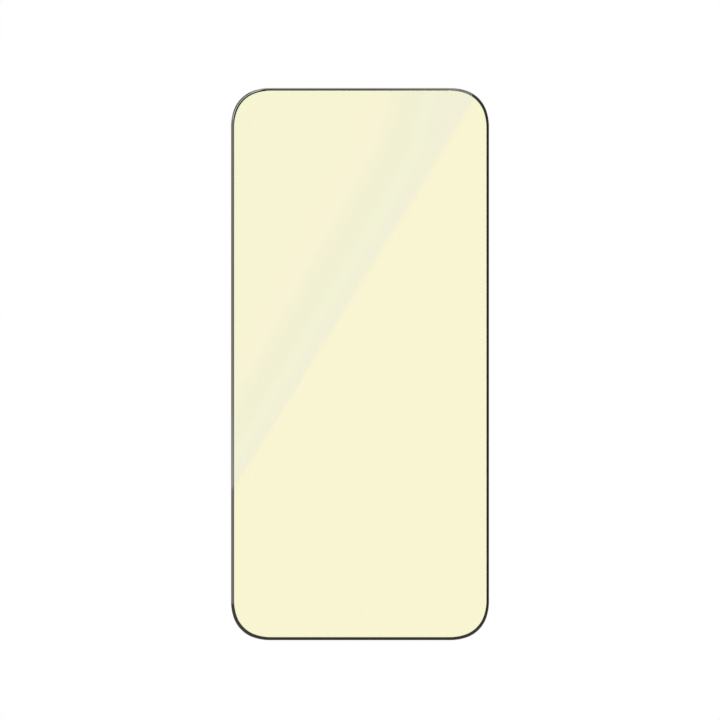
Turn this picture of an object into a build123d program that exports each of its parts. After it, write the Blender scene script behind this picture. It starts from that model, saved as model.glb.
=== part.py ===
from build123d import *

import os
from math import cos, radians, sin

# Phone screen protector: a tinted tempered-glass sheet with a black border printed round its underside.
# The sheet lies flat, as it would come to rest on a table: +Z is up, +Y runs to the top of the phone and
# X runs across it. The origin is the middle of the underside. All sizes are in millimetres.

# Sheet
SHEET_WIDTH = 68.5
SHEET_LENGTH = 146.6
SHEET_THICKNESS = 0.40

# Each corner eases in on a large arc, turns on a small one and eases out again
CORNER_RADIUS = 8.5
EASE_RADIUS = 13.5
EASE_ANGLE = 18.0

# Edge, from the top down: a rolled shoulder, an upright land and a ground arris
ROLL_WIDTH = 0.80
EDGE_LAND = 0.10
ARRIS = 0.05

# Printed border, from the arris inward. Its clear window has slightly rounder corners than the sheet
BORDER_WIDTH = 0.74
WINDOW_EASE = 0.25
PRINT_THICKNESS = 0.03

# Heights above the underside, worked out from the sizes above
ARRIS_TOP = PRINT_THICKNESS + ARRIS
LAND_TOP = ARRIS_TOP + EDGE_LAND

# The four corners in order round the sheet: side in X, side in Y and turn
CORNERS = ((1, 1, 0), (-1, 1, 90), (-1, -1, 180), (1, -1, 270))


def corner(inset):
    """Three tangent arcs round a corner at the origin, with the sheet on its -X and -Y sides."""
    ease = EASE_RADIUS - inset
    main = CORNER_RADIUS - inset
    shift = EASE_RADIUS - CORNER_RADIUS
    centre = ease - shift * cos(radians(EASE_ANGLE))
    start = centre + shift * sin(radians(EASE_ANGLE))
    return Curve() + [
        CenterArc((-ease, -start), ease, 0, EASE_ANGLE),
        CenterArc((-centre, -centre), main, EASE_ANGLE, 90 - 2 * EASE_ANGLE),
        CenterArc((-start, -ease), ease, 90 - EASE_ANGLE, EASE_ANGLE),
    ]


def outline(inset=0.0, rounder=0.0):
    """The sheet's outline as a face on the ground plane, moved inward by inset, with corners rounder if asked."""
    half_width = SHEET_WIDTH / 2 - inset
    half_length = SHEET_LENGTH / 2 - inset
    corners = [
        Pos(x * half_width, y * half_length) * Rot(0, 0, turn) * corner(inset - rounder)
        for x, y, turn in CORNERS
    ]
    sides = [Line(a @ 1, b @ 0) for a, b in zip(corners, corners[1:] + corners[:1])]
    return make_face(Curve() + corners + sides)


def rim():
    """The edge of the sheet: its section, swept once round the outline."""
    section = Polyline(
        (0, LAND_TOP),
        (0, ARRIS_TOP),
        (-ARRIS, PRINT_THICKNESS),
        (-ARRIS, 0),
        (-ROLL_WIDTH, 0),
        (-ROLL_WIDTH, SHEET_THICKNESS),
    )
    roll = TangentArc((-ROLL_WIDTH, SHEET_THICKNESS), (0, LAND_TOP), tangent=(1, 0))
    path = outline().wire()
    along = path % 0
    across = Plane(origin=path @ 0, x_dir=along.cross(Vector(0, 0, 1)), z_dir=-along)
    return sweep(across * make_face(section + roll), path=path)


def border_print():
    """The black border, printed flush into the underside from the arris inward."""
    return extrude(outline(ARRIS) - outline(BORDER_WIDTH, WINDOW_EASE), PRINT_THICKNESS)


def glass_sheet():
    """The tinted glass, with its underside cut back round the rim by the depth of the print."""
    return extrude(outline(ROLL_WIDTH), SHEET_THICKNESS) + rim() - border_print()


os.makedirs("parts", exist_ok=True)
for node in (glass_sheet, border_print):
    export_step(node(), f"parts/{node.__name__}.step")
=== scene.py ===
"""Phone screen protector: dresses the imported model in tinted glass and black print, on a white floor."""

from functools import partial
from math import asin, atan2, ceil, cos, log, radians, sin
from typing import NamedTuple

import bmesh
import bpy
from bpy.props import FloatProperty, FloatVectorProperty, IntProperty, PointerProperty
from mathutils import Matrix, Vector


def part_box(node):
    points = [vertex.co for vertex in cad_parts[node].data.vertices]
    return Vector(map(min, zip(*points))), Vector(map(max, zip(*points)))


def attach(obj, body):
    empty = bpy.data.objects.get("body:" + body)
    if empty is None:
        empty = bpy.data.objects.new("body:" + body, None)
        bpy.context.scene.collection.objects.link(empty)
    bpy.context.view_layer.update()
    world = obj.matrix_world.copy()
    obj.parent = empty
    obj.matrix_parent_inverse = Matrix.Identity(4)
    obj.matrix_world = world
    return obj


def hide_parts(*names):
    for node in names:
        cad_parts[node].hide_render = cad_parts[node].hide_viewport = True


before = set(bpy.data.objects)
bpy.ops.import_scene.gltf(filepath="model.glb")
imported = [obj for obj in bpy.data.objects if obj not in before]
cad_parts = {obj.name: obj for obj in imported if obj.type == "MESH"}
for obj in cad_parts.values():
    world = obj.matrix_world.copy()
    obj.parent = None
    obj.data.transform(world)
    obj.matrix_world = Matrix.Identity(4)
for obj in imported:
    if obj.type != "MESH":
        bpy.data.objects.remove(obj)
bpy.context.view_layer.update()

bl_info = {
    "name": "Phone screen protector",
    "version": (1, 0, 0),
    "blender": (4, 5, 0),
    "location": "View3D > Sidebar > Screen Protector",
    "description": "Adds a tinted glass sheet with a printed border, and the studio it is shown in",
    "category": "Add Mesh",
}

GLASS_LOW, GLASS_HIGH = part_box("glass_sheet")
_, PRINT_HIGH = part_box("border_print")

SHARP_ANGLE = radians(30)
QUARTER_TURN = radians(90)
CORNERS = ((1, 1), (-1, 1), (-1, -1), (1, -1))


class GlossView(NamedTuple):
    """A place that the gloss is seen from, and how deep its tones are from there.

    The place is turned from the foot of the sheet and rises over the glass, both in degrees.
    """

    name: str
    turn: float
    rise: float
    depth: float


class Edge(NamedTuple):
    """A card's edge in metres: its ends along a side of the sheet, its reach from the middle, its height."""

    start: float
    end: float
    out: float
    up: float


class Card(NamedTuple):
    """A card of light that hangs over one side of the sheet, for the rolled edge there to mirror.

    It is turned from the top of the sheet by some degrees. Its tones are strengths at spots along the side.
    """

    name: str
    turn: float
    near: Edge
    far: Edge
    tones: tuple


GLOSS_VIEWS = (
    GlossView("gloss_card", turn=0, rise=90, depth=1.0),
    GlossView("gloss_card_right", turn=45, rise=25, depth=0.6),
    GlossView("gloss_card_left", turn=225, rise=15, depth=0.35),
)

SIDE_CARDS = (
    Card(
        "top_card",
        turn=0,
        near=Edge(-0.036, 0.050, out=0.106, up=0.420),
        far=Edge(-0.050, 0.075, out=0.400, up=0.200),
        tones=((-0.040, 1.5), (0.000, 1.75), (0.015, 2.4), (0.028, 3.5), (0.040, 4.6)),
    ),
    Card(
        "top_low_card",
        turn=0,
        near=Edge(-0.085, 0.065, out=0.289, up=0.208),
        far=Edge(-0.100, 0.070, out=0.338, up=0.141),
        tones=((0.000, 9.0),),
    ),
    Card(
        "top_right_card",
        turn=-15,
        near=Edge(0.002, 0.022, out=0.112, up=0.410),
        far=Edge(-0.060, 0.096, out=0.390, up=0.190),
        tones=((0.000, 4.5),),
    ),
    Card(
        "top_left_card",
        turn=45,
        near=Edge(-0.100, 0.150, out=0.236, up=0.316),
        far=Edge(-0.100, 0.150, out=0.284, up=0.272),
        tones=((0.000, 16.0),),
    ),
    Card(
        "top_left_wing",
        turn=22,
        near=Edge(-0.012, 0.062, out=0.319, up=0.290),
        far=Edge(-0.012, 0.082, out=0.395, up=0.250),
        tones=((0.000, 8.0),),
    ),
    Card(
        "top_left_flag",
        turn=45,
        near=Edge(0.025, 0.070, out=0.108, up=0.420),
        far=Edge(-0.035, 0.170, out=0.225, up=0.330),
        tones=((0.000, 0.55),),
    ),
    Card(
        "left_card",
        turn=90,
        near=Edge(-0.0925, 0.100, out=0.110, up=0.420),
        far=Edge(-0.097, 0.160, out=0.350, up=0.200),
        tones=((-0.0455, 3.3), (-0.0445, 6.5), (-0.0296, 5.6), (-0.0136, 4.5), (0.003, 3.9), (0.0274, 3.5)),
    ),
    Card(
        "left_low_card",
        turn=90,
        near=Edge(-0.0905, 0.120, out=0.227, up=0.230),
        far=Edge(-0.0895, 0.130, out=0.294, up=0.150),
        tones=((-0.043, 5.1), (-0.042, 6.5), (-0.010, 5.7), (0.030, 5.1)),
    ),
    Card(
        "foot_flag",
        turn=180,
        near=Edge(-0.250, 0.250, out=0.106, up=0.420),
        far=Edge(-0.350, 0.350, out=0.360, up=0.230),
        tones=((-0.260, 1.2), (-0.050, 0.8), (0.050, 0.8), (0.260, 1.4)),
    ),
    Card(
        "right_flag",
        turn=270,
        near=Edge(-0.250, 0.250, out=0.052, up=0.420),
        far=Edge(-0.350, 0.350, out=0.300, up=0.230),
        tones=((-0.200, 0.9), (-0.090, 0.43), (0.090, 0.43), (0.200, 0.9)),
    ),
)


def size(name, description, default):
    """A length in metres that a user can change."""
    return FloatProperty(name=name, description=description, default=default, precision=5, unit="LENGTH")


def turn(name, description, default):
    """An angle that a user can change."""
    return FloatProperty(name=name, description=description, default=default, subtype="ANGLE")


def share(name, description, default):
    """A plain number from nothing upward that a user can change."""
    return FloatProperty(name=name, description=description, default=default, min=0.0, precision=3)


def colour(name, description, default):
    """A colour that a user can change, as light and not as a screen's values."""
    return FloatVectorProperty(
        name=name, description=description, default=default, min=0.0, subtype="COLOR"
    )


def place(name, description, default):
    """A point of the sheet's plane that a user can change, in metres."""
    return FloatVectorProperty(
        name=name,
        description=description,
        default=default,
        size=2,
        precision=5,
        subtype="XYZ",
        unit="LENGTH",
    )


class SheetSizes(bpy.types.PropertyGroup):
    """Sizes of the glass and of the print under it."""

    width: size("Width", "Glass from edge to edge across the phone", GLASS_HIGH.x - GLASS_LOW.x)
    length: size("Length", "Glass from edge to edge along the phone", GLASS_HIGH.y - GLASS_LOW.y)
    thickness: size("Thickness", "Height of the top face over the underside", GLASS_HIGH.z)
    corner_radius: size("Corner radius", "Small arc in the middle of each corner", 0.0085)
    ease_radius: size("Ease radius", "Large arc at each end of a corner", 0.0135)
    ease_angle: turn("Ease angle", "How far each large arc turns", radians(18))
    roll_width: size("Roll width", "How far the rolled shoulder reaches in from the edge", 0.0008)
    edge_land: size("Edge land", "Height of the upright part of the edge", 0.0001)
    arris: size("Arris", "Slope ground off the bottom of the edge", 0.00005)
    border_width: size("Border width", "Print from the edge of the glass inward", 0.00074)
    print_shift: place("Print shift", "How far off centre the press set the window", (0.00007, 0.00004))
    window_ease: size("Window ease", "Extra corner radius of the clear window inside the print", 0.00025)
    print_thickness: size("Print thickness", "Depth of the print", PRINT_HIGH.z)
    print_bite: size("Print bite", "How far the ink wets into the glass, with no air between", 0.000005)
    arc_step: turn("Arc step", "Turn of each edge round a corner", radians(2))
    roll_steps: IntProperty(name="Roll steps", description="Faces across the shoulder", default=24, min=4)


class Finish(bpy.types.PropertyGroup):
    """Colours and surfaces of the glass and the print."""

    tint: colour("Tint", "What the sheet lets through", (0.9475, 0.910, 0.629))
    rim_tint: colour("Rim tint", "What the sheet lets through beside its border", (0.932, 0.919, 0.615))
    rim_reach: size("Rim reach", "How far the rim's tint reaches in from the border", 0.0018)
    backed: colour("Backed glass", "What the glass lets through where ink backs it", (0.0, 0.0, 0.0))
    backed_fade: size("Backed fade", "How far out from its inside the print starts to take light", 0.00006)
    glass_ior: share("Glass index", "Index of refraction of the glass", 1.52)
    glass_smooth: share("Glass, smoothest", "Roughness where the polish is best", 0.010)
    glass_rough: share("Glass, roughest", "Roughness where the polish is least", 0.025)
    polish_patch: size("Polish patch", "Size of the patches in the polish", 0.012)
    ink: colour("Ink", "Colour of the print", (0.011, 0.010, 0.008))
    ink_thin: colour("Thin ink", "Colour of the print where the ink is thinnest", (0.016, 0.0145, 0.012))
    ink_grain: size("Ink grain", "Size of the print's grain", 0.00012)
    ink_smooth: share("Ink, smoothest", "Roughness of the ink at its smoothest", 0.45)
    ink_rough: share("Ink, roughest", "Roughness of the ink at its roughest", 0.65)
    ink_relief: size("Ink relief", "Height of the print's grain", 0.000002)


class Studio(bpy.types.PropertyGroup):
    """The floor, light, cards and camera."""

    frame_width: size("Frame width", "Width of the picture at the glass", 0.19116)
    aim: place("Aim", "Point of the glass at the middle of the picture", (0.0, 0.00108))
    lens: FloatProperty(name="Lens", description="Focal length", default=200.0, unit="CAMERA")
    sensor: FloatProperty(name="Sensor", description="Width of the film", default=36.0, unit="CAMERA")
    floor_gap: size("Floor gap", "How far the floor lies under the glass", 0.00005)
    floor_size: size("Floor size", "Side of the floor", 6.0)
    floor_colour: colour("Floor colour", "Colour of the floor where light falls on it", (0.95, 0.95, 0.95))
    floor_shade: share("Floor shade", "Share of light and shadow in the floor that the camera sees", 0.06)
    fill: share("Fill", "Strength of the light from all round", 0.45)
    sun: share("Sun", "Strength of the soft light from the upper left", 2.3)
    sun_turn: FloatVectorProperty(
        name="Sun turn",
        description="How the soft light leans",
        default=(radians(-25), radians(-25), 0.0),
        subtype="EULER",
        unit="ROTATION",
    )
    sun_spread: turn("Sun spread", "How wide the soft light is", radians(30))
    horizon: share("Horizon", "Strength of the sky that the glass mirrors at the horizon", 0.8)
    horizon_rise: share("Horizon rise", "Sine of the height where the mirrored sky is at full strength", 0.3)
    side_tone: colour("Side tone", "Tone of the cards at the sides, at a strength of 1", (1.02, 0.97, 0.88))
    gloss_top: place("Gloss top", "Upper end of the gloss's edge on the glass", (0.02999, 0.06828))
    gloss_foot: place("Gloss foot", "Lower end of the gloss's edge on the glass", (-0.03080, -0.02973))
    gloss_edge: colour("Gloss edge", "Tone of the card beside its edge", (0.21, 0.40, 1.42))
    gloss_middle: colour("Gloss middle", "Tone of the card a little further in", (0.26, 0.71, 1.41))
    gloss_inside: colour("Gloss inside", "Tone of the card before the gloss fades", (0.26, 0.48, 1.13))
    gloss_faded: colour("Gloss, faded", "Tone of the card where the gloss has faded", (0.79, 0.79, 1.21))
    gloss_far: colour("Gloss, far", "Tone of the card away from its edge", (0.80, 0.90, 1.08))
    edge_start: size("Edge start", "Where the edge's tone starts, at the top of the gloss", 0.0014)
    edge_end: size("Edge end", "Where the edge's tone ends", 0.0030)
    middle_start: size("Middle start", "Where the middle's tone starts", 0.0058)
    middle_end: size("Middle end", "Where the middle's tone ends", 0.0068)
    inside_start: size("Inside start", "Where the inside's tone starts", 0.0100)
    inside_end: size("Inside end", "Where the inside's tone ends", 0.0133)
    faded_at: size("Faded at", "Where the gloss has faded", 0.0187)
    far_at: size("Far at", "Where the far tone starts", 0.0302)
    gloss_taper: share("Gloss taper", "How fast the gloss narrows, as shares of its width to a metre", 2.69)
    flare: size("Flare", "How much wider the edge's tone is at the top of the gloss", 0.0050)
    flare_reach: size("Flare reach", "How far down from the top the edge's tone is wider", 0.0239)
    card_height: size("Card height", "Height of the gloss's card over the glass", 0.5)
    gloss_width: size("Gloss width", "Width of the gloss's card as the glass mirrors it", 0.11)
    gloss_margin: size("Gloss margin", "How far the gloss goes on past each end of its edge", 0.041)


class ScreenProtector(bpy.types.PropertyGroup):
    """All settings of the screen protector."""

    sizes: PointerProperty(type=SheetSizes)
    finish: PointerProperty(type=Finish)
    studio: PointerProperty(type=Studio)


class Value:
    """A socket in a node tree. Python's operators on a number add Math nodes."""

    def __init__(self, graph, socket):
        self.graph = graph
        self.socket = socket

    def __add__(self, other):
        return self.graph.math("ADD", self, other)

    def __sub__(self, other):
        return self.graph.math("SUBTRACT", self, other)

    def __rsub__(self, other):
        return self.graph.math("SUBTRACT", other, self)

    def __mul__(self, other):
        return self.graph.math("MULTIPLY", self, other)

    def __truediv__(self, other):
        return self.graph.math("DIVIDE", self, other)

    def __rtruediv__(self, other):
        return self.graph.math("DIVIDE", other, self)

    def __abs__(self):
        return self.graph.math("ABSOLUTE", self)

    __radd__ = __add__
    __rmul__ = __mul__


class Graph:
    """The node tree of a material or a world."""

    def __init__(self, owner):
        owner.use_nodes = True
        self.tree = owner.node_tree
        self.tree.nodes.clear()

    def node(self, kind, settings=None, inputs=None, output=0):
        """Adds a node, sets it up, feeds its inputs and returns one of its outputs."""
        node = self.tree.nodes.new(kind)
        for name, setting in (settings or {}).items():
            if name == "stops":
                self.set_stops(node.color_ramp.elements, setting)
            else:
                setattr(node, name, setting)
        for name, source in (inputs or {}).items():
            if isinstance(source, Value):
                self.tree.links.new(source.socket, node.inputs[name])
            else:
                node.inputs[name].default_value = source
        return Value(self, node.outputs[output]) if node.outputs else None

    @staticmethod
    def set_stops(elements, stops):
        """Gives a colour ramp its stops, each a position and a colour."""
        while len(elements) < len(stops):
            elements.new(1.0)
        for element, (position, tone) in zip(elements, stops):
            element.position = position
            element.color = (*tone, 1.0)

    def math(self, operation, *terms):
        """The result of a Math node."""
        return self.node("ShaderNodeMath", {"operation": operation}, dict(enumerate(terms)))

    def point(self, space="Object"):
        """X, Y and Z of the point being shaded, in the object's own space unless another is named."""
        point = self.node("ShaderNodeTexCoord", output=space)
        return [self.node("ShaderNodeSeparateXYZ", inputs={0: point}, output=axis) for axis in "XYZ"]

    def noise(self, patch, detail):
        """Soft noise from 0 to 1 with patches of about one size, in metres."""
        point = self.node("ShaderNodeTexCoord", output="Object")
        inputs = {"Vector": point, "Scale": 1 / patch, "Detail": detail}
        return self.node("ShaderNodeTexNoise", inputs=inputs)

    def ease(self, value, low, high, from_low=0.0, from_high=1.0):
        """A number that eases from low to high as a value goes from one limit to the other."""
        inputs = {0: value, 1: from_low, 2: from_high, 3: low, 4: high}
        return self.node("ShaderNodeMapRange", {"interpolation_type": "SMOOTHSTEP"}, inputs)

    def blend(self, mask, first, second):
        """One colour where the mask is 0 and another where it is 1."""
        first, second = (tone if isinstance(tone, Value) else (*tone, 1.0) for tone in (first, second))
        return self.node("ShaderNodeMix", {"data_type": "RGBA"}, {0: mask, 6: first, 7: second}, output=2)

    def seen_by(self, *rays):
        """1 for a ray of one of these kinds, and 0 for any other."""
        seen, *others = [self.node("ShaderNodeLightPath", output=f"Is {ray} Ray") for ray in rays]
        for other in others:
            seen = self.math("MAXIMUM", seen, other)
        return seen

    def surface(self, shader):
        """Makes a shader the material's surface."""
        self.node("ShaderNodeOutputMaterial", inputs={"Surface": shader})


def depth_in_window(graph, sizes):
    """How far the point being shaded lies inside the print's window, with its corners as superellipses."""
    inset = sizes.border_width - sizes.window_ease
    easing = sizes.ease_radius - sizes.corner_radius
    centre = sizes.ease_radius - inset - easing * cos(sizes.ease_angle)
    reach = centre + easing * sin(sizes.ease_angle)
    middle = centre - (sizes.corner_radius - inset) * cos(QUARTER_TURN / 2)
    power = log(0.5) / log(1 - middle / reach)
    halves = (sizes.width / 2 - sizes.border_width, sizes.length / 2 - sizes.border_width)
    past = []
    for part, off_centre, half in zip(graph.point(), sizes.print_shift, halves):
        over = graph.math("MAXIMUM", abs(part - off_centre) - (half - reach), 0.0)
        past.append(graph.math("POWER", over, power))
    return reach - graph.math("POWER", past[0] + past[1], 1 / power)


def tinted_glass(sizes, finish):
    """Polished glass with a pale tint, a little greener beside its border and dark where ink backs it."""
    material = bpy.data.materials.new("tinted_glass")
    graph = Graph(material)
    depth = depth_in_window(graph, sizes)
    rim = graph.ease(depth, 1.0, 0.0, 0.0, finish.rim_reach)
    backed = graph.ease(depth, 1.0, 0.0, -finish.backed_fade, 0.0)
    clear = graph.blend(rim, finish.tint, finish.rim_tint)
    polish = graph.noise(finish.polish_patch, detail=3.0)
    glass = graph.node(
        "ShaderNodeBsdfPrincipled",
        inputs={
            "Base Color": graph.blend(backed, clear, finish.backed),
            "Roughness": graph.ease(polish, finish.glass_smooth, finish.glass_rough),
            "IOR": finish.glass_ior,
            "Transmission Weight": 1.0,
        },
    )
    graph.surface(glass)
    return material


def black_print(finish):
    """Matt black ink with a fine grain."""
    material = bpy.data.materials.new("black_print")
    graph = Graph(material)
    grain = graph.noise(finish.ink_grain, detail=2.0)
    relief = graph.node("ShaderNodeBump", inputs={"Height": grain, "Distance": finish.ink_relief})
    ink = graph.node(
        "ShaderNodeBsdfPrincipled",
        inputs={
            "Base Color": graph.blend(graph.ease(grain, 0.0, 1.0), finish.ink, finish.ink_thin),
            "Roughness": graph.ease(grain, finish.ink_smooth, finish.ink_rough),
            "Specular IOR Level": 0.0,
            "Normal": relief,
        },
    )
    graph.surface(ink)
    return material


def arc(centre, radius, start, sweep, step):
    """Points along an arc, both ends among them."""
    count = ceil(sweep / step)
    angles = [start + sweep * i / count for i in range(count + 1)]
    return [centre + radius * Vector((cos(angle), sin(angle))) for angle in angles]


def corner(sizes, inset):
    """Three tangent arcs round a corner at the origin, with the sheet on its -X and -Y sides."""
    ease = sizes.ease_radius - inset
    main = sizes.corner_radius - inset
    ease_angle = sizes.ease_angle
    main_angle = QUARTER_TURN - 2 * ease_angle
    shift = sizes.ease_radius - sizes.corner_radius
    centre = ease - shift * cos(ease_angle)
    start = centre + shift * sin(ease_angle)
    ease_in = arc(Vector((-ease, -start)), ease, 0.0, ease_angle, sizes.arc_step)
    round_main = arc(Vector((-centre, -centre)), main, ease_angle, main_angle, sizes.arc_step)
    ease_out = arc(Vector((-start, -ease)), ease, QUARTER_TURN - ease_angle, ease_angle, sizes.arc_step)
    return ease_in + round_main[1:] + ease_out[1:]


def outline(sizes, inset, rounder=0.0, shift=(0.0, 0.0)):
    """Points round the sheet from its right side to its top, with every edge moved inward by inset."""
    half_width = sizes.width / 2 - inset
    half_length = sizes.length / 2 - inset
    points = []
    for quarter, (x, y) in enumerate(CORNERS):
        turned = Matrix.Rotation(quarter * QUARTER_TURN, 2)
        at = Vector((x * half_width, y * half_length)) + Vector(shift)
        points += [at + turned @ point for point in corner(sizes, inset - rounder)]
    return points


def loops_round(bm, sizes, section):
    """A loop of vertices for each point of a section: a height, and what the outline there takes."""
    loops = []
    for height, *way in section:
        loops.append([bm.verts.new((*point, height)) for point in outline(sizes, *way)])
    return loops


def skin(bm, loops):
    """Faces between each loop of vertices and the next."""
    for lower, upper in zip(loops, loops[1:]):
        for i in range(len(lower)):
            bm.faces.new((lower[i - 1], lower[i], upper[i], upper[i - 1]))


def cap(bm, loop, up):
    """Closes a loop with rungs from its left half to its right half."""
    quarter = len(loop) // 4
    right = loop[-quarter:] + loop[:quarter]
    left = loop[quarter:-quarter][::-1]
    rungs = list(zip(right, left))
    for (r0, l0), (r1, l1) in zip(rungs, rungs[1:]):
        bm.faces.new((r0, r1, l1, l0) if up else (l0, l1, r1, r0))


def glass_section(sizes):
    """Heights and insets round the edge of the glass, from the underside up to the top face."""
    arris_top = sizes.print_thickness + sizes.arris
    drop = sizes.thickness - arris_top - sizes.edge_land
    if drop <= 0:
        raise ValueError("The land and the arris leave no height for the rolled shoulder")
    radius = (sizes.roll_width**2 + drop**2) / (2 * drop)
    slope = asin(sizes.roll_width / radius)
    angles = [slope * (1 - i / sizes.roll_steps) for i in range(sizes.roll_steps + 1)]
    window = (sizes.border_width, sizes.window_ease, sizes.print_shift)
    rebate = [(0.0, *window), (sizes.print_thickness, *window), (sizes.print_thickness, sizes.arris)]
    roll = [
        (sizes.thickness - radius * (1 - cos(angle)), sizes.roll_width - radius * sin(angle))
        for angle in angles
    ]
    return rebate + [(arris_top, 0.0)] + roll


def print_section(sizes):
    """Heights and insets round the print, which bites into the glass over it."""
    if sizes.border_width <= sizes.arris:
        raise ValueError("The border is no wider than the arris")
    top = sizes.print_thickness + sizes.print_bite
    window = (sizes.border_width + sizes.print_bite, sizes.window_ease, sizes.print_shift)
    return [(0.0, *window), (top, *window), (top, sizes.arris), (0.0, sizes.arris)]


def add_piece(context, name, bm, material, node):
    """Turns a finished mesh into a piece that stands for a node of the frame."""
    mesh = bpy.data.meshes.new(name)
    bm.to_mesh(mesh)
    bm.free()
    mesh.materials.append(material)
    mesh.shade_smooth()
    mesh.set_sharp_from_angle(angle=SHARP_ANGLE)
    piece = bpy.data.objects.new(name, mesh)
    context.scene.collection.objects.link(piece)
    piece.modifiers.new("Flat faces stay flat", "WEIGHTED_NORMAL").keep_sharp = True
    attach(piece, "root")
    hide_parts(node)


class SCREENPROTECTOR_OT_glass(bpy.types.Operator):
    """Add the tinted glass sheet with its rolled edge"""

    bl_idname = "screen_protector.glass"
    bl_label = "Glass Sheet"
    bl_options = {"REGISTER", "UNDO"}

    def execute(self, context):
        settings = context.scene.screen_protector
        bm = bmesh.new()
        loops = loops_round(bm, settings.sizes, glass_section(settings.sizes))
        skin(bm, loops)
        cap(bm, loops[-1], up=True)
        cap(bm, loops[0], up=False)
        material = tinted_glass(settings.sizes, settings.finish)
        add_piece(context, "tinted_glass_sheet", bm, material, "glass_sheet")
        return {"FINISHED"}


class SCREENPROTECTOR_OT_border(bpy.types.Operator):
    """Add the black border printed under the edge of the glass"""

    bl_idname = "screen_protector.border"
    bl_label = "Printed Border"
    bl_options = {"REGISTER", "UNDO"}

    def execute(self, context):
        settings = context.scene.screen_protector
        bm = bmesh.new()
        loops = loops_round(bm, settings.sizes, print_section(settings.sizes))
        skin(bm, loops + loops[:1])
        material = black_print(settings.finish)
        add_piece(context, "printed_border", bm, material, "border_print")
        return {"FINISHED"}


def floor_paint(studio):
    """White to the eye and through the glass, with some of the light and shadow that falls on it if bare."""
    material = bpy.data.materials.new("floor_paint")
    graph = Graph(material)
    lit = graph.node("ShaderNodeBsdfDiffuse", inputs={"Color": (*studio.floor_colour, 1.0)})
    white = graph.node("ShaderNodeEmission", inputs={"Strength": 1.0})
    bare = graph.seen_by("Camera", "Glossy") * (1 - studio.floor_shade)
    factor = graph.math("MAXIMUM", bare, graph.seen_by("Transmission"))
    graph.surface(graph.node("ShaderNodeMixShader", inputs={0: factor, 1: lit, 2: white}))
    return material


def along_card(graph):
    """How far along its X a point of a card lies."""
    x, *_ = graph.point()
    return x


def into_gloss(graph, studio, stretch):
    """How far into the gloss a point of its card lies: it narrows to its foot and flares at its top."""
    x, y, _ = (part / stretch for part in graph.point())
    inward = x / (1 - studio.gloss_taper * y)
    flare = graph.ease(y, studio.flare, 0.0, 0.0, studio.flare_reach)
    edge = graph.math("MINIMUM", inward, studio.edge_end)
    return graph.math("MAXIMUM", inward - flare, edge)


def gloss_tones(studio, depth):
    """Tones from the edge of the gloss inward, each with its spot in metres, as deep as asked."""
    white = Vector((1.0, 1.0, 1.0))
    tones = (
        (0.0, white),
        (studio.edge_start, studio.gloss_edge),
        (studio.edge_end, studio.gloss_edge),
        (studio.middle_start, studio.gloss_middle),
        (studio.middle_end, studio.gloss_middle),
        (studio.inside_start, studio.gloss_inside),
        (studio.inside_end, studio.gloss_inside),
        (studio.faded_at, studio.gloss_faded),
        (studio.far_at, studio.gloss_far),
    )
    return [(spot, white.lerp(Vector(tone), depth)) for spot, tone in tones]


def card_tone(graph, tones, find_spot):
    """The tone at a spot on a card, from tones that each have a spot in metres."""
    if len(tones) == 1:
        return (*tones[0][1], 1.0)
    first, last = tones[0][0], tones[-1][0]
    stops = [((spot - first) / (last - first), tone) for spot, tone in tones]
    spot = (find_spot(graph) - first) / (last - first)
    return graph.node("ShaderNodeValToRGB", {"stops": stops}, {0: spot})


def card_paint(name, tones, find_spot):
    """Light in a card's tones, and nothing else."""
    material = bpy.data.materials.new(name)
    graph = Graph(material)
    brightest = max(max(tone) for _, tone in tones)
    scaled = [(spot, [part / brightest for part in tone]) for spot, tone in tones]
    light = graph.node(
        "ShaderNodeBsdfPrincipled",
        inputs={
            "Base Color": (0.0, 0.0, 0.0, 1.0),
            "Specular IOR Level": 0.0,
            "Emission Color": card_tone(graph, scaled, find_spot),
            "Emission Strength": brightest,
        },
    )
    graph.surface(light)
    return material


def add_stage(context, name, corners, material):
    """Adds a four-cornered face that belongs to the studio and not to the sheet."""
    mesh = bpy.data.meshes.new(name)
    mesh.from_pydata(corners, [], [(0, 1, 2, 3)])
    mesh.materials.append(material)
    stage = bpy.data.objects.new(name, mesh)
    context.scene.collection.objects.link(stage)
    return stage


def add_card(context, name, corners, tones, find_spot=along_card):
    """Adds a card of light that only shows where something glossy mirrors it."""
    card = add_stage(context, name, corners, card_paint(name, tones, find_spot))
    card.visible_camera = False
    card.visible_diffuse = False
    card.visible_shadow = False
    return card


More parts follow.
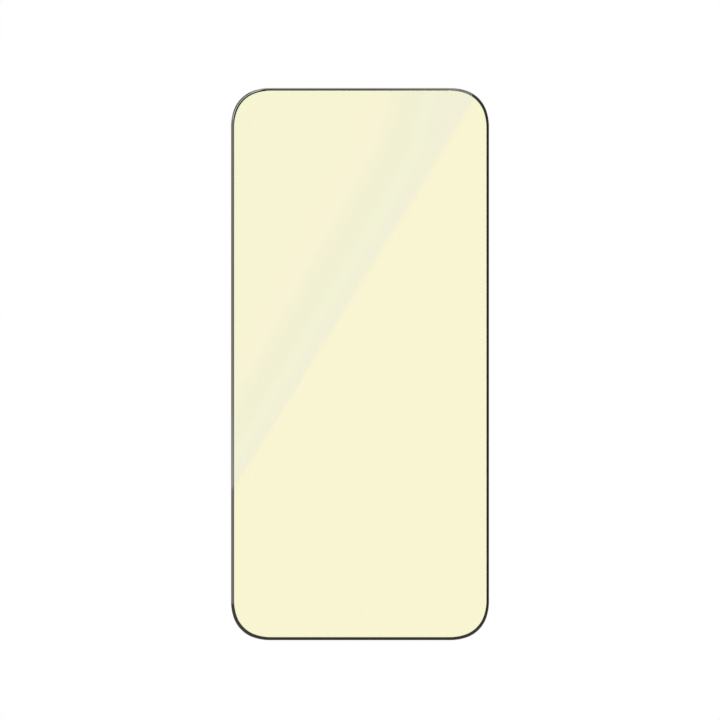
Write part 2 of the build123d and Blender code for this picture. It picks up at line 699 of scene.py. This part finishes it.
class SCREENPROTECTOR_OT_studio(bpy.types.Operator):
    """Add the white floor, the light, the cards that the glass mirrors and the camera"""

    bl_idname = "screen_protector.studio"
    bl_label = "Studio"
    bl_options = {"REGISTER", "UNDO"}

    def execute(self, context):
        settings = context.scene.screen_protector
        studio = settings.studio
        context.scene.view_settings.view_transform = "Standard"
        self.add_floor(context, studio)
        self.light_sky(context, studio)
        self.add_sun(context, studio)
        self.add_camera(context, studio, settings.sizes.thickness)
        for view in GLOSS_VIEWS:
            self.add_gloss_card(context, studio, settings.sizes.thickness, view)
        for card in SIDE_CARDS:
            self.add_side_card(context, studio, card)
        return {"FINISHED"}

    @staticmethod
    def camera_rise(studio):
        """How far the camera stands over the glass."""
        return studio.frame_width * studio.lens / studio.sensor

    def add_floor(self, context, studio):
        """A square floor just under the sheet."""
        half = studio.floor_size / 2
        corners = [(x * half, y * half, -studio.floor_gap) for x, y in CORNERS]
        add_stage(context, "floor", corners, floor_paint(studio))

    def light_sky(self, context, studio):
        """A soft fill that looks white, and dimmer at the horizon where the glass mirrors it."""
        world = bpy.data.worlds.new("studio_sky")
        context.scene.world = world
        graph = Graph(world)
        *_, up = graph.point("Generated")
        dim = graph.node("ShaderNodeBackground", inputs={"Color": (*[studio.horizon] * 3, 1.0)})
        white = graph.node("ShaderNodeBackground", inputs={"Color": (1.0, 1.0, 1.0, 1.0)})
        fill = graph.node("ShaderNodeBackground", inputs={"Color": (*[studio.fill] * 3, 1.0)})
        rise = graph.ease(up, 0.0, 1.0, 0.0, studio.horizon_rise)
        full = graph.math("MAXIMUM", rise, graph.seen_by("Camera", "Transmission"))
        mirrored = graph.node("ShaderNodeMixShader", inputs={0: full, 1: dim, 2: white})
        seen = graph.seen_by("Camera", "Glossy", "Transmission")
        sky = graph.node("ShaderNodeMixShader", inputs={0: seen, 1: fill, 2: mirrored})
        graph.node("ShaderNodeOutputWorld", inputs={"Surface": sky})

    def add_sun(self, context, studio):
        """Soft light from the upper left, which nothing mirrors."""
        data = bpy.data.lights.new("sun", "SUN")
        data.energy = studio.sun
        data.angle = studio.sun_spread
        sun = bpy.data.objects.new("sun", data)
        context.scene.collection.objects.link(sun)
        sun.rotation_euler = studio.sun_turn
        sun.visible_glossy = False

    def add_camera(self, context, studio, glass_top):
        """A camera that looks straight down on the glass."""
        data = bpy.data.cameras.new("camera")
        data.lens = studio.lens
        data.sensor_width = studio.sensor
        camera = bpy.data.objects.new("camera", data)
        context.scene.collection.objects.link(camera)
        camera.location = (*studio.aim, glass_top + self.camera_rise(studio))
        context.scene.camera = camera

    def add_gloss_card(self, context, studio, glass_top, view):
        """A card whose mirror image in the glass, seen from one place, is the slanting gloss."""
        heading, rise = radians(view.turn), radians(view.rise)
        distance = self.camera_rise(studio)
        out = Vector((sin(heading), -cos(heading)))
        eye = Vector(studio.aim) + out * distance * cos(rise)
        stretch = 1 + studio.card_height / (distance * sin(rise))
        top = eye.lerp(Vector(studio.gloss_top), stretch)
        foot = eye.lerp(Vector(studio.gloss_foot), stretch)
        along = top - foot
        width, margin = studio.gloss_width * stretch, studio.gloss_margin * stretch
        low, high = -margin, along.length + margin
        corners = [(0, low, 0), (width, low, 0), (width, high, 0), (0, high, 0)]
        find_spot = partial(into_gloss, studio=studio, stretch=stretch)
        card = add_card(context, view.name, corners, gloss_tones(studio, view.depth), find_spot)
        card.location = (*top, glass_top + studio.card_height)
        card.rotation_euler.z = atan2(along.y, along.x) + QUARTER_TURN

    def add_side_card(self, context, studio, card):
        """A card over one side of the sheet, in strengths of the side tone."""
        near, far = card.near, card.far
        corners = [
            (near.start, near.out, near.up),
            (near.end, near.out, near.up),
            (far.end, far.out, far.up),
            (far.start, far.out, far.up),
        ]
        tones = [(spot, Vector(studio.side_tone) * strength) for spot, strength in card.tones]
        add_card(context, card.name, corners, tones).rotation_euler.z = radians(card.turn)


class SCREENPROTECTOR_PT_panel(bpy.types.Panel):
    """Lists the pieces of the screen protector and their settings"""

    bl_label = "Screen Protector"
    bl_space_type = "VIEW_3D"
    bl_region_type = "UI"
    bl_category = "Screen Protector"

    def draw(self, context):
        for operator in OPERATORS:
            self.layout.operator(operator.bl_idname)
        settings = context.scene.screen_protector
        for group in (settings.sizes, settings.finish, settings.studio):
            box = self.layout.box()
            for name in type(group).__annotations__:
                box.prop(group, name)


OPERATORS = (SCREENPROTECTOR_OT_glass, SCREENPROTECTOR_OT_border, SCREENPROTECTOR_OT_studio)
CLASSES = (SheetSizes, Finish, Studio, ScreenProtector, *OPERATORS, SCREENPROTECTOR_PT_panel)


def register():
    for cls in CLASSES:
        bpy.utils.register_class(cls)
    bpy.types.Scene.screen_protector = PointerProperty(type=ScreenProtector)


def unregister():
    del bpy.types.Scene.screen_protector
    for cls in reversed(CLASSES):
        bpy.utils.unregister_class(cls)


def main():
    register()
    bpy.ops.screen_protector.glass()
    bpy.ops.screen_protector.border()
    bpy.ops.screen_protector.studio()
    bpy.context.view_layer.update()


if __name__ == "__main__":
    main()
